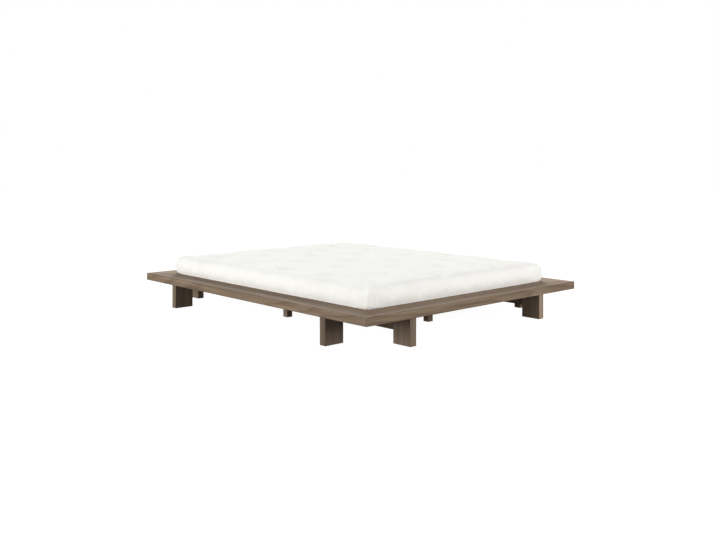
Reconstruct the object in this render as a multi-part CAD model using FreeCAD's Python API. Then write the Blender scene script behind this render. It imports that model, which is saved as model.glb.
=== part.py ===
import FreeCAD, Part
import math
import os

# Low platform bed with a loose tufted futon, all sizes in millimetres.
# Origin: on the floor at the middle of the bed. X across the bed, Y along it, Z up.
# The foot end is at -Y and the head end at +Y. Left is -X and right is +X.

# Overall sizes of the wooden frame
bed_width = 1930.0
bed_length = 2330.0
leg_height = 158.0

# Ledge boards, mitred into one flat ring round the futon
board_width = 160.0
board_thickness = 50.0
board_edge_radius = 2.5

# Legs and the bearers that join them in pairs
leg_width = 134.0
plank_thickness = 48.0
leg_inset = 10.0
leg_edge_radius = 1.5
bearer_setback = 366.0
long_bearer_depth = 80.0
cross_bearer_depth = 40.0
notch_clearance = 0.4

# Stub tenons: at the bearers' ends, on top of the legs and posts, and on the mid posts' sides
tenon_length = 28.0
tenon_thickness = 16.0
tenon_shoulder = 8.0
tenon_side_clearance = 0.2
tenon_end_clearance = 0.8
top_tenon_width = 60.0
top_tenon_height = 20.0
side_tenon_height = 40.0
side_tenon_reach = 14.0

# Square posts under the middle of the bed
post_size = 42.0
mid_post_drop = 8.0
mid_post_housing = 15.0
mid_post_shift = 11.0
centre_post_setback = 85.0
post_edge_chamfer = 1.5

# Slats that lie across the three long members, and the tapes that tie them
slat_count = 15
slat_width = 70.0
slat_thickness = 20.0
slat_end_gap = 3.0
slat_side_clearance = 3.0
slat_edge_radius = 3.0
tape_width = 30.0
tape_thickness = 1.2
tape_setback = 325.0

# Hidden hardware of the mitred corners
tongue_length = 130.0
tongue_width = 50.0
tongue_thickness = 6.0
tongue_fit = 0.15
mitre_bolt_radius = 3.0
mitre_bolt_reach = 35.0
mitre_bolt_tail = 6.0
pocket_radius = 13.0
pocket_depth = 20.0
pocket_slot_width = 8.0
pocket_fit = 0.15
washer_height = 14.0
nut_corner_radius = 5.6
nut_thickness = 5.0
nut_sides = 6

# Futon: cotton cover and wadding round a foam core, sewn through with tufts
# Its gaps are those to the boards' inner edges, at the boards' top
futon_side_gap = 6.0
futon_end_gap = 12.0
futon_height = 168.0
futon_rest_gap = 0.3
futon_corner_radius = 16.0
futon_corner_growth_share = 0.35
futon_edge_roll = 30.0
futon_neck_share = 0.46
futon_crown_reach = 430.0
core_inset = 63.0
core_thickness = 60.0
core_corner_radius = 20.0
core_fit = 0.3
core_height_share = 0.27

# Tufts: rows across the futon, every second row shifted by half a step
tuft_row_count = 10
tuft_columns_per_row = 3
tuft_column_pitch_share = 0.328
tuft_column_shift_share = 0.25
tuft_dimple_radius = 64.0
tuft_dimple_depth = 13.0
tuft_under_depth = 7.0
tuft_radius = 9.0
tuft_thickness = 3.0
tuft_seat_radius = 10.0
tuft_sides = 8

# One overrun for every cut that runs out of a face, and how near two edge lengths count as one
cut_overrun = 5.0
edge_match = 0.5

# Heights and places that follow from the sizes above
half_width = bed_width / 2
half_length = bed_length / 2
well_half_width = half_width - board_width
well_half_length = half_length - board_width
long_bearer_x = half_width - bearer_setback
cross_bearer_y = half_length - bearer_setback
long_bearer_bottom = leg_height - long_bearer_depth
rail_depth = cross_bearer_depth
slat_top = leg_height + slat_thickness
slat_half_length = well_half_width - slat_side_clearance
first_slat_y = -well_half_length + slat_end_gap + slat_width / 2
slat_pitch = -2 * first_slat_y / (slat_count - 1)
futon_neck = futon_edge_roll * futon_neck_share
futon_width = 2 * (well_half_width - futon_side_gap + futon_neck)
futon_length = 2 * (well_half_length - futon_end_gap + futon_neck)
futon_bottom = slat_top + tape_thickness + futon_rest_gap
core_width = futon_width - 2 * core_inset
core_length = futon_length - 2 * core_inset
core_bottom = futon_bottom + futon_height * core_height_share
tuft_row_pitch = futon_length / tuft_row_count
tuft_column_pitch = futon_width * tuft_column_pitch_share
tuft_column_shift = tuft_column_pitch * tuft_column_shift_share

# How the futon's side goes up: (share of its height, share of the edge roll drawn in)
futon_side_shares = (
    (0.0, 1.05),
    (0.04, 0.75),
    (0.10, 0.56),
    (0.17, futon_neck_share),
    (0.32, 0.16),
    (0.50, 0.0),
    (0.66, 0.08),
    (0.76, 0.28),
    (0.83, 0.56),
    (0.88, 1.0),
)

# How the crown goes on from there: (share of the height, share of the crown's reach)
futon_crown_shares = (
    (0.905, 0.05),
    (0.935, 0.16),
    (0.97, 0.42),
    (0.99, 0.70),
    (1.0, 1.0),
)


def vector(x, y, z):
    return FreeCAD.Vector(x, y, z)


X_AXIS = vector(1, 0, 0)
Y_AXIS = vector(0, 1, 0)
Z_AXIS = vector(0, 0, 1)
QUARTER_TURN = 90.0
HALF_TURN = 180.0


def block(size_x, size_y, size_z, base_z):
    """A box centred on the origin in plan, from base_z upwards."""
    corner = vector(-size_x / 2, -size_y / 2, base_z)
    return Part.makeBox(size_x, size_y, size_z, corner)


def placed(shape, x, y, z, turn):
    """The shape turned about Z and then moved."""
    moved = shape.copy()
    rotation = FreeCAD.Rotation(Z_AXIS, turn)
    moved.Placement = FreeCAD.Placement(vector(x, y, z), rotation).multiply(moved.Placement)
    return moved


def long_edges(shape, direction, length):
    """The straight edges of a shape that run its full length along a direction."""
    found = []
    for edge in shape.Edges:
        ends = edge.valueAt(edge.LastParameter) - edge.valueAt(edge.FirstParameter)
        along = abs(ends.dot(direction))
        if abs(edge.Length - along) < edge_match and edge.Length > length - edge_match:
            found.append(edge)
    return found


def extruded(points, base_z, height):
    """A prism on the closed outline through plan points."""
    corners = [vector(x, y, base_z) for x, y in points]
    face = Part.Face(Part.makePolygon(corners + corners[:1]))
    return face.extrude(vector(0, 0, height))


def regular_corners(count, radius):
    """Corners of a regular polygon round the origin."""
    steps = [2 * math.pi * index / count for index in range(count)]
    return [(radius * math.cos(angle), radius * math.sin(angle)) for angle in steps]


def write(name, shape):
    """One STEP file for each named piece, from one solid or a group of solids."""
    shape.exportStep(os.path.join("parts", name + ".step"))


def group(shapes):
    return Part.makeCompound(shapes)


# Places of the legs: name, x and y of the outer edge's middle, and the turn that points inwards

def leg_places():
    places = {}
    for side, sign in (("left", -1), ("right", 1)):
        x = sign * long_bearer_x
        places["foot_leg_" + side] = (x, -half_length + leg_inset, QUARTER_TURN)
        places["head_leg_" + side] = (x, half_length - leg_inset, -QUARTER_TURN)
    for end, sign in (("foot", -1), ("head", 1)):
        y = sign * cross_bearer_y
        places["left_leg_" + end] = (-half_width + leg_inset, y, 0)
        places["right_leg_" + end] = (half_width - leg_inset, y, HALF_TURN)
    return places


def centre_post_places():
    """Y of the three posts under the centre rail."""
    reach = cross_bearer_y - centre_post_setback
    return {"centre_post_foot": -reach, "centre_post_middle": 0, "centre_post_head": reach}


def corner_frames():
    """For every mitred corner: its middle in plan and the turn of its mitre line."""
    frames = []
    for sign_x in (-1, 1):
        for sign_y in (-1, 1):
            x = sign_x * (half_width - board_width / 2)
            y = sign_y * (half_length - board_width / 2)
            turn = math.degrees(math.atan2(-sign_y, -sign_x))
            frames.append((x, y, turn))
    return frames


# Mitred corners: loose tongues and draw bolts, made with the mitre line along X

def tongue(fit):
    """A loose tongue across a mitre at half the boards' thickness; fit makes its slot."""
    middle = leg_height + board_thickness / 2
    thickness = tongue_thickness + 2 * fit
    return block(tongue_length + 2 * fit, tongue_width + 2 * fit, thickness, middle - thickness / 2)


def mitre_pocket():
    """Two round pockets joined by a slot across the mitre, cut up from the boards' underside."""
    height = pocket_depth + cut_overrun
    base = leg_height - cut_overrun
    shape = block(pocket_slot_width, 2 * mitre_bolt_reach, height, base)
    for side in (-1, 1):
        centre = vector(0, side * mitre_bolt_reach, base)
        shape = shape.fuse(Part.makeCylinder(pocket_radius, height, centre, Z_AXIS))
    return shape


def nut():
    """A hexagonal nut, its axis along Y, from y = 0 to its thickness."""
    corners = regular_corners(nut_sides, nut_corner_radius)
    outline = [vector(x, 0, z) for x, z in corners]
    face = Part.Face(Part.makePolygon(outline + outline[:1]))
    return face.extrude(vector(0, nut_thickness, 0))


def half_washer(side):
    """A half-round washer whose flat side faces its nut."""
    radius = pocket_radius - pocket_fit
    base = leg_height + (pocket_depth - washer_height) / 2
    start = vector(radius, 0, base)
    middle = vector(0, -side * radius, base)
    end = vector(-radius, 0, base)
    outline = Part.Wire([Part.Arc(start, middle, end).toShape(), Part.LineSegment(end, start).toShape()])
    washer = Part.Face(outline).extrude(vector(0, 0, washer_height))
    return placed(washer, 0, side * mitre_bolt_reach, 0, 0)


def mitre_bolt():
    """A draw bolt with its two half-round washers and nuts, lying in its pocket."""
    axis_z = leg_height + pocket_depth / 2
    shank_reach = mitre_bolt_reach + nut_thickness + mitre_bolt_tail
    shank_start = vector(0, -shank_reach, axis_z)
    shape = Part.makeCylinder(mitre_bolt_radius, 2 * shank_reach, shank_start, Y_AXIS)
    for side, turn in ((-1, HALF_TURN), (1, 0)):
        shape = shape.fuse(half_washer(side))
        shape = shape.fuse(placed(nut(), 0, side * mitre_bolt_reach, axis_z, turn))
    return shape.removeSplitter()


# Ledge boards

def board_blank(length):
    """A mitred board along X whose outer edge is at y = 0 and inner edge at y = board_width."""
    half = length / 2
    short = half - board_width
    outline = ((-half, 0), (half, 0), (short, board_width), (-short, board_width))
    blank = extruded(outline, leg_height, board_thickness)
    edges = long_edges(blank, X_AXIS, 2 * short)
    return blank.makeFillet(board_edge_radius, edges)


def ledge_boards():
    """The four boards, with slots, pockets and mortises cut where their mates sit."""
    blanks = {
        "ledge_board_foot": placed(board_blank(bed_width), 0, -half_length, 0, 0),
        "ledge_board_head": placed(board_blank(bed_width), 0, half_length, 0, HALF_TURN),
        "ledge_board_left": placed(board_blank(bed_length), -half_width, 0, 0, -QUARTER_TURN),
        "ledge_board_right": placed(board_blank(bed_length), half_width, 0, 0, QUARTER_TURN),
    }
    cuts = []
    for x, y, turn in corner_frames():
        cuts.append(placed(tongue(tongue_fit), x, y, 0, turn))
        cuts.append(placed(mitre_pocket(), x, y, 0, turn))
    mortise = leg_top_tenon(tenon_side_clearance, tenon_end_clearance)
    for x, y, turn in leg_places().values():
        cuts.append(placed(mortise, x, y, 0, turn))
    boards = {}
    for name, blank in blanks.items():
        near = [cut for cut in cuts if cut.BoundBox.intersect(blank.BoundBox)]
        boards[name] = blank.cut(near)
    return boards


# Legs and bearers

def tenon(depth, fit, end_fit):
    """A stub tenon that starts at x = 0 and points along X; depth is its bearer's."""
    height = depth - 2 * tenon_shoulder + 2 * fit
    thickness = tenon_thickness + 2 * fit
    length = tenon_length + end_fit
    base = leg_height - depth + tenon_shoulder - fit
    shape = block(length, thickness, height, base)
    return placed(shape, length / 2, 0, 0, 0)


def top_tenon(width, fit, end_fit):
    """A stub tenon that stands on top of a leg or post; fits make its mortise."""
    height = top_tenon_height + end_fit + cut_overrun
    return block(width + 2 * fit, tenon_thickness + 2 * fit, height, -cut_overrun)


def leg_top_tenon(fit, end_fit):
    """The tenon on a leg whose outer edge is at x = 0."""
    return placed(top_tenon(top_tenon_width, fit, end_fit), leg_width / 2, 0, leg_height, 0)


def leg(depth):
    """A leg whose outer edge is at x = 0, with the mortise for a bearer of this depth."""
    plank = block(leg_width, plank_thickness, leg_height, 0)
    upright = long_edges(plank, Z_AXIS, leg_height)
    plank = placed(plank.makeFillet(leg_edge_radius, upright), leg_width / 2, 0, 0, 0)
    mortise = tenon(depth, tenon_side_clearance, tenon_end_clearance)
    plank = plank.cut(placed(mortise, leg_width, 0, 0, HALF_TURN))
    return plank.fuse(leg_top_tenon(0, 0)).removeSplitter()


def bearer(length, depth):
    """A bearer along X between two legs, its top level with the legs' tops."""
    shape = block(length, plank_thickness, depth, leg_height - depth)
    for turn in (0, HALF_TURN):
        end = placed(tenon(depth, 0, 0), length / 2, 0, 0, 0)
        shape = shape.fuse(placed(end, 0, 0, 0, turn))
    return shape


def notch(depth, base):
    """The slot that a crossing member of plank thickness drops into."""
    width = plank_thickness + 2 * notch_clearance
    return block(width, plank_thickness + 2 * cut_overrun, depth, base)


def notch_from_above(depth):
    return notch(depth + cut_overrun, leg_height - depth)


def notch_from_below(depth, bottom):
    return notch(depth + cut_overrun, bottom - cut_overrun)


def long_bearer(sign):
    """A long bearer, notched from above for the cross bearers and housed and mortised for its post."""
    length = bed_length - 2 * (leg_inset + leg_width)
    shape = bearer(length, long_bearer_depth)
    for side in (-1, 1):
        shape = shape.cut(placed(notch_from_above(cross_bearer_depth), side * cross_bearer_y, 0, 0, 0))
    shape = placed(shape, sign * long_bearer_x, 0, 0, QUARTER_TURN)
    shape = shape.cut(mid_post_room(sign))
    return shape.cut(mid_post_tenon(sign, tenon_side_clearance, tenon_end_clearance))


def cross_bearer(sign):
    """A cross bearer with the upper half of its lap over the centre rail cut away."""
    length = bed_width - 2 * (leg_inset + leg_width)
    shape = bearer(length, cross_bearer_depth)
    shape = shape.cut(notch_from_above(cross_bearer_depth / 2))
    return placed(shape, 0, sign * cross_bearer_y, 0, 0)


def centre_rail():
    """The rail under the slats' middle, lapped over both cross bearers."""
    length = 2 * (well_half_length - slat_side_clearance)
    bottom = leg_height - rail_depth
    shape = block(length, plank_thickness, rail_depth, bottom)
    for side in (-1, 1):
        lap = notch_from_below(rail_depth / 2, bottom)
        shape = shape.cut(placed(lap, side * cross_bearer_y, 0, 0, 0))
    shape = placed(shape, 0, 0, 0, QUARTER_TURN)
    mortise = top_tenon(tenon_thickness, tenon_side_clearance, tenon_end_clearance)
    for y in centre_post_places().values():
        shape = shape.cut(placed(mortise, 0, y, bottom, 0))
    return shape


# Posts

def post(height):
    """A square post with its foot chamfered all round."""
    shape = block(post_size, post_size, height, 0)
    foot = [edge for edge in shape.Edges if edge.BoundBox.ZMax < post_edge_chamfer]
    return shape.makeChamfer(post_edge_chamfer, foot)


def centre_post(y):
    """A post whose top tenon stands in the centre rail."""
    height = leg_height - rail_depth
    shape = post(height).fuse(placed(top_tenon(tenon_thickness, 0, 0), 0, 0, height, 0))
    return placed(shape.removeSplitter(), 0, y, 0, 0)


def mid_post_place(sign):
    """Centre of a mid post, let into the inner face of its long bearer."""
    x = sign * (long_bearer_x - plank_thickness / 2 - post_size / 2 + mid_post_housing)
    return x, -sign * mid_post_shift


def mid_post_room(sign):
    """What a mid post takes up with its clearances, to be cut from the long bearer."""
    x, y = mid_post_place(sign)
    side = post_size + 2 * tenon_side_clearance
    height = leg_height - mid_post_drop + tenon_end_clearance
    return placed(block(side, side, height, 0), x, y, 0, 0)


def mid_post_tenon(sign, fit, end_fit):
    """The tenon on a mid post's side, which points outwards into the long bearer."""
    x, y = mid_post_place(sign)
    reach = post_size / 2 + side_tenon_reach + end_fit
    middle = (long_bearer_bottom + leg_height - mid_post_drop) / 2
    height = side_tenon_height + 2 * fit
    shape = block(reach, tenon_thickness + 2 * fit, height, middle - height / 2)
    return placed(shape, x + sign * reach / 2, y, 0, 0)


def mid_post(sign):
    x, y = mid_post_place(sign)
    shape = placed(post(leg_height - mid_post_drop), x, y, 0, 0)
    return shape.fuse(mid_post_tenon(sign, 0, 0)).removeSplitter()


# Slats and tapes

def slat_places():
    return [first_slat_y + slat_pitch * index for index in range(slat_count)]


def slat(y):
    """One slat with rounded upper edges."""
    shape = block(2 * slat_half_length, slat_width, slat_thickness, leg_height)
    lengthwise = long_edges(shape, X_AXIS, 2 * slat_half_length)
    upper = [edge for edge in lengthwise if edge.BoundBox.ZMin > leg_height]
    return placed(shape.makeFillet(slat_edge_radius, upper), 0, y, 0, 0)


def slat_tape(sign):
    """A flat webbing tape over all the slats, which keeps them apart."""
    length = 2 * abs(first_slat_y) + slat_width - 2 * slat_edge_radius
    x = sign * (well_half_width - tape_setback)
    return placed(block(tape_width, length, tape_thickness, slat_top), x, 0, 0, 0)


# Futon

def rounded_outline(half_x, half_y, radius, z):
    """The four arcs and four lines of a round-cornered rectangle, in turn."""
    corners = ((1, 1), (-1, 1), (-1, -1), (1, -1))
    arcs = []
    for index, (sign_x, sign_y) in enumerate(corners):
        centre = vector(sign_x * (half_x - radius), sign_y * (half_y - radius), z)
        points = []
        for share in (0, 0.5, 1):
            angle = math.radians(QUARTER_TURN * (index + share))
            points.append(centre + vector(radius * math.cos(angle), radius * math.sin(angle), 0))
        arcs.append(points)
    edges = []
    for points, following in zip(arcs, arcs[1:] + arcs[:1]):
        edges.append(Part.Arc(*points).toShape())
        edges.append(Part.LineSegment(points[-1], following[0]).toShape())
    return edges


def lofted(outlines):
    """A solid through outlines one above the other: flat along the sides, ruled round the corners."""
    faces = [Part.Face(Part.Wire(outlines[0])), Part.Face(Part.Wire(outlines[-1]))]
    for lower, upper in zip(outlines, outlines[1:]):
        for low, high in zip(lower, upper):
            if isinstance(low.Curve, Part.Circle):
                faces.append(Part.makeRuledSurface(low, high))
            else:
                loop = [low.firstVertex().Point, low.lastVertex().Point]
                loop += [high.lastVertex().Point, high.firstVertex().Point]
                faces.append(Part.Face(Part.makePolygon(loop + loop[:1])))
    skin = Part.makeCompound(faces)
    skin.sewShape()
    solid = Part.Solid(Part.Shell(skin.Faces))
    if solid.Volume < 0:
        solid.reverse()
    return solid


def futon_levels():
    """Heights above the futon's base and how far the outline is drawn in there."""
    levels = []
    for height_share, roll_share in futon_side_shares:
        levels.append((futon_height * height_share, futon_edge_roll * roll_share))
    for height_share, reach_share in futon_crown_shares:
        reach = futon_edge_roll + (futon_crown_reach - futon_edge_roll) * reach_share
        levels.append((futon_height * height_share, reach))
    return levels


def futon_top_at(x, y):
    """Height of the crown over a plan place, read along the drawn-in outlines."""
    inset = min(futon_width / 2 - abs(x), futon_length / 2 - abs(y))
    levels = [level for level in futon_levels() if level[0] > futon_height / 2]
    for (low_z, low_inset), (high_z, high_inset) in zip(levels, levels[1:]):
        if inset < high_inset:
            share = max(0, inset - low_inset) / (high_inset - low_inset)
            return futon_bottom + low_z + (high_z - low_z) * share
    return futon_bottom + futon_height


def tuft_places():
    """Staggered plan places of the tufts."""
    places = []
    first_y = -tuft_row_pitch * (tuft_row_count - 1) / 2
    span = tuft_column_pitch * (tuft_columns_per_row - 1)
    for row in range(tuft_row_count):
        shift = -tuft_column_shift if row % 2 == 0 else tuft_column_shift
        for column in range(tuft_columns_per_row):
            x = -span / 2 + tuft_column_pitch * column + shift
            places.append((x, first_y + tuft_row_pitch * row))
    return places


def dimple(x, y, surface_z, depth, up):
    """A shallow pleated hollow that a tuft pulls into the cloth, flat at its seat."""
    slope = (tuft_dimple_radius - tuft_seat_radius) / depth
    height = depth + cut_overrun
    outlines = []
    for level in (0, height):
        z = surface_z + up * (level - depth)
        corners = regular_corners(tuft_sides, tuft_seat_radius + slope * level)
        points = [vector(x + step_x, y + step_y, z) for step_x, step_y in corners]
        sides = zip(points, points[1:] + points[:1])
        outlines.append([Part.LineSegment(start, end).toShape() for start, end in sides])
    return lofted(outlines)


def core_slab(fit):
    """The foam core, or with a fit the space for it."""
    outline = rounded_outline(
        core_width / 2 + fit, core_length / 2 + fit, core_corner_radius + fit, core_bottom - fit
    )
    return Part.Face(Part.Wire(outline)).extrude(vector(0, 0, core_thickness + 2 * fit))


def futon_cover():
    """Crowned cover with drawn-in sides, both faces dimpled by the tufts, hollow for its core."""
    outlines = []
    for height, inset in futon_levels():
        radius = futon_corner_radius + inset * futon_corner_growth_share
        half_x = futon_width / 2 - inset
        half_y = futon_length / 2 - inset
        outlines.append(rounded_outline(half_x, half_y, radius, futon_bottom + height))
    cuts = [core_slab(core_fit)]
    for x, y in tuft_places():
        cuts.append(dimple(x, y, futon_top_at(x, y), tuft_dimple_depth, 1))
        cuts.append(dimple(x, y, futon_bottom, tuft_under_depth, -1))
    return lofted(outlines).cut(cuts)


def tufts():
    """A small stitched button in the seat of every dimple, above and below."""
    outline = regular_corners(tuft_sides, tuft_radius)
    button = extruded(outline, 0, tuft_thickness)
    buttons = []
    for x, y in tuft_places():
        top_seat = futon_top_at(x, y) - tuft_dimple_depth
        under_seat = futon_bottom + tuft_under_depth - tuft_thickness
        for z in (top_seat, under_seat):
            buttons.append(placed(button, x, y, z, 0))
    return group(buttons)


def corner_tongues():
    return group([placed(tongue(0), x, y, 0, turn) for x, y, turn in corner_frames()])


def mitre_bolts():
    return group([placed(mitre_bolt(), x, y, 0, turn) for x, y, turn in corner_frames()])


def build():
    os.makedirs("parts", exist_ok=True)
    for name, board in ledge_boards().items():
        write(name, board)
    end_leg = leg(long_bearer_depth)
    side_leg = leg(cross_bearer_depth)
    for name, (x, y, turn) in leg_places().items():
        carries_long_bearer = name.startswith(("foot", "head"))
        write(name, placed(end_leg if carries_long_bearer else side_leg, x, y, 0, turn))
    for side, sign in (("left", -1), ("right", 1)):
        write("long_bearer_" + side, long_bearer(sign))
        write("mid_post_" + side, mid_post(sign))
        write("slat_tape_" + side, slat_tape(sign))
    for end, sign in (("foot", -1), ("head", 1)):
        write("cross_bearer_" + end, cross_bearer(sign))
    write("centre_rail", centre_rail())
    for name, y in centre_post_places().items():
        write(name, centre_post(y))
    for index, y in enumerate(slat_places()):
        write("slat_%02d" % (index + 1), slat(y))
    write("corner_tongues", corner_tongues())
    write("mitre_bolts", mitre_bolts())
    write("futon_cover", futon_cover())
    write("futon_core", core_slab(0))
    write("futon_tufts", tufts())


build()
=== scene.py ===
import math

import bmesh
import bpy
import numpy as np
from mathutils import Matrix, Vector
from mathutils.bvhtree import BVHTree


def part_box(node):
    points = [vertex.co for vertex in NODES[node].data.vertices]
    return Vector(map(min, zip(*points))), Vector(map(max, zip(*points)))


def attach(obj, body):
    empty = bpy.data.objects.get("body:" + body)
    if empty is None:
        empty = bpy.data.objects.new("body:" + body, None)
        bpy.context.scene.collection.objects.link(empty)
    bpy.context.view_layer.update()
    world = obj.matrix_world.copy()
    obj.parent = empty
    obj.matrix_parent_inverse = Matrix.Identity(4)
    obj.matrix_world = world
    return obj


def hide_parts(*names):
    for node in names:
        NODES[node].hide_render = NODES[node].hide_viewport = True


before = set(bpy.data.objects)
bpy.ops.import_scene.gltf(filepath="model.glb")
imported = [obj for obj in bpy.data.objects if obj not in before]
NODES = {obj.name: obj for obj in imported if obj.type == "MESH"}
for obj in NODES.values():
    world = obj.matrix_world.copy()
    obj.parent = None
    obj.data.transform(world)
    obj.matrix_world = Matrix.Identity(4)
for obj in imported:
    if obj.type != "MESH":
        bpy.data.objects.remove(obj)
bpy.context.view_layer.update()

# Low platform bed with a loose tufted futon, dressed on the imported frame. All sizes in metres.
# X runs across the bed, Y along it from foot to head, Z up. The floor is at z = 0.

# The photograph's frame and the camera fitted to it
IMAGE_WIDTH = 716
IMAGE_HEIGHT = 540
FOCAL_PIXELS = 842.178
PRINCIPAL_POINT = (354.10, 158.14)
CAMERA_PLACE = Vector((-3.9743, -4.3737, 1.0415))
CAMERA_HEADING = Vector((0.67349, 0.73919, 0.0))

# Sizes read from the frame
COVER_LOW, COVER_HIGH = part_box("futon_cover")
CORE_LOW, CORE_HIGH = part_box("futon_core")
BED_HALF_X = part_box("ledge_board_right")[1].x
BED_HALF_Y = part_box("ledge_board_head")[1].y
BOARD_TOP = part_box("ledge_board_left")[1].z
HALF_X = COVER_HIGH.x
HALF_Y = COVER_HIGH.y
BASE_Z = COVER_LOW.z
FULL_HEIGHT = COVER_HIGH.z - COVER_LOW.z

# The futon's section. It is widest half-way up, at its bulge, and insets are measured from there.
# Below the bulge the hem draws in over the boards, and low in the well the side stands upright.
BULGE_SHARE = 0.5
HEM_INSET = 0.054
HEM_POWER = 2.3
GROOVE_INSET = 0.0165
WELL_SHARE = 0.8
WELL_INSET = 0.0135
SEAT_INSET = 0.018

# Above the bulge come a tight shoulder and a long, shallow crown
SHOULDER_SHARE = 0.78
SHOULDER_REACH = 0.029
SHOULDER_EDGE = 0.020
CROWN_REACH = 0.430
CROWN_POWER = 2.5
BLEND_POWER = 4

# The sewn corners droop a little, and stand fuller and squarer than the sides
CORNER_RADIUS = 0.009
CORNER_GROWTH = 0.35
CORNER_DROOP = 0.05
CORNER_DROOP_REACH = 0.20
CORNER_FULLNESS = 0.8
CORNER_SQUARENESS = 0.9
CORNER_STIFF_REACH = 0.10

# The simulation draws the sides in and lifts the crown, so it starts from a wider and lower form
START_INSET = -0.004
START_DROP = 0.008

RISE_HEIGHT = FULL_HEIGHT * (1 - BULGE_SHARE) - START_DROP

# Its mesh and tufts
CELL = 0.015
SIDE_ROWS_BELOW = 7
SIDE_ROWS_ABOVE = 6
TUFT_ROWS = 10
TUFT_COLUMNS = 3
TUFT_COLUMN_PITCH_SHARE = 0.328
TUFT_COLUMN_SHIFT_SHARE = 0.25
TUFT_DEPTH = 0.013
TUFT_UNDER_DEPTH = 0.007
TUFT_REACH = 0.040
TUFT_PIN_RADIUS = 0.013
TUFT_RADIUS = 0.009
TUFT_THICKNESS = 0.003
TUFT_PROFILE = ((1.0, -0.25), (1.0, 0.15), (0.86, 0.55), (0.58, 0.86), (0.25, 1.0))
TUFT_SIDES = 28
TUFT_LOBES = 7
TUFT_LOBE_SHARE = 0.07
TUFT_FLUTE_SHARE = 0.10
TUFT_MIDDLE_SHARE = 0.9
BOARD_PIN_DEPTH = 0.006
CORNER_PIN_RADIUS = 0.022
CORNER_CREASE = 0.45

# Cloth simulation
CLOTH_FRAMES = 20
CLOTH_CAP = 0.009
CLOTH_SETTINGS = {
    "quality": 4,
    "mass": 0.25,
    "air_damping": 2.0,
    "tension_stiffness": 12.0,
    "compression_stiffness": 12.0,
    "shear_stiffness": 4.0,
    "bending_stiffness": 0.4,
    "use_pressure": True,
    "uniform_pressure_force": 4.0,
    "shrink_min": -0.012,
}

# Tapes on the slats, and their staples. A row of the path is a corner of the wire: its place across
# the tape, its place up, and how much the bend's outside faces across and up.
TAPE_SAG = 0.0025
TAPE_LINES = 7
TAPE_STOPS_ON_SLAT = 3
TAPE_STOPS_BETWEEN = 9
TAPE_RIM_SHARE = 0.25
STAPLE_PLACES = (0.3, 0.7)
STAPLE_RADIUS = 0.0005
STAPLE_SIDES = 8
STAPLE_PATH = (
    (-0.0055, -0.0040, 1.0, 0.0),
    (-0.0055, -0.0004, 0.7, 0.7),
    (-0.0049, 0.0003, 0.0, 1.0),
    (0.0049, 0.0003, 0.0, 1.0),
    (0.0055, -0.0004, 0.7, 0.7),
    (0.0055, -0.0040, 1.0, 0.0),
)

# Small folds made after the simulation. The lengths are those of the waves that are added up, and
# the reaches and rises are distances over which a fold comes in or dies out.
WAVE_TURNS = (0.5, 1.1)
FOLD_POWER = 0.7
GATHER_DEPTH = 0.0054
GATHER_TOP = 0.105
GATHER_TOP_POWER = 1.5
GATHER_BASE_RISE = 0.02
GATHER_CORNER_REACH = 0.10
GATHER_TILT_SHARE = 1.4
GATHER_STRENGTH = 0.55
GATHER_SWELL = 0.45
GATHER_STRENGTH_LIMITS = (0.1, 1.2)
GATHER_LENGTHS = (0.031, 0.037, 0.043, 0.052, 0.067, 0.083)
GATHER_SWELL_LENGTHS = (0.31, 0.47, 0.71)
PLEAT_DEPTH = 0.0030
PLEAT_MEAN = 0.6
PLEAT_COUNTS = (5, 8)
PLEAT_INNER_REACH = 0.012
PLEAT_REACH = 0.050
PINCH_DEPTH = 0.0055
PINCH_REACH = 0.015
LUMP_DEPTH = 0.0016
LUMP_RISE = 0.05
LUMP_LENGTHS = (0.17, 0.21, 0.27, 0.34, 0.43)
RIPPLE_SHARE = 0.25
RIPPLE_LENGTHS = (0.061, 0.074, 0.089)

# Foam core
CORE_EDGE_RADIUS = 0.014
CORE_EDGE_SEGMENTS = 5
CORE_LONG_EDGE = 0.5
CORE_CUTS = 30
CORE_SINK = 0.0014
CORE_UNEVENNESS = 0.0012
CORE_WAVE_LENGTHS = (0.11, 0.16, 0.23)

# Seeds of what is irregular
GATHER_SEED = 5
GATHER_SWELL_SEED = 6
LUMP_SEED = 8
RIPPLE_SEED = 9
PLEAT_SEED = 11
CORE_SEED = 21

# Wood
WOOD_ROUGHNESS = 0.66
WOOD_SPECULAR = 0.20
RING_SPACING = 0.0062
SLAT_RING_SPACING = 0.004
RING_PROFILE = ((0.0, 0.55), (0.08, 0.05), (0.45, 0.12), (0.82, 0.62), (0.93, 1.0), (1.0, 0.55))
RING_WAVER = 0.7
GRAIN_WANDER = 0.032
GRAIN_TILT = 0.016
KNOT_SPACING_ALONG = 0.62
KNOT_SPACING_ACROSS = 0.19
KNOT_PULL = 0.014
KNOT_PULL_REACH = 0.04
KNOT_EDGE = (0.006, 0.013)
KNOT_DARKNESS = 0.72
KNOT_RING_DARKNESS = 0.12
KNOT_RING_TURNS = 2600.0
# How dark the painted shade along each piece's edges is
EDGE_PAINTED_SHADE = 0.65
SEAM_DARKNESS = 0.5
SEAM_EDGE = (0.0003, 0.0009)

# Over what range of its noise each of the wood's features comes in, and how much of it shows
DARK_STREAK_RANGE = (0.30, 0.50)
LIGHT_STREAK_RANGE = (0.48, 0.68)
CLOUD_RANGE = (0.35, 0.75)
CLOUD_SHARE = 0.5
FIBRE_RANGE = (0.25, 0.75)
FIBRE_SHARE = 0.30
PORE_RANGE = (0.66, 0.74)
PORE_SHARE = 0.35
LATE_WOOD_SHARE = 0.5
WOOD_BUMP = (0.0005, 0.55)

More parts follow.
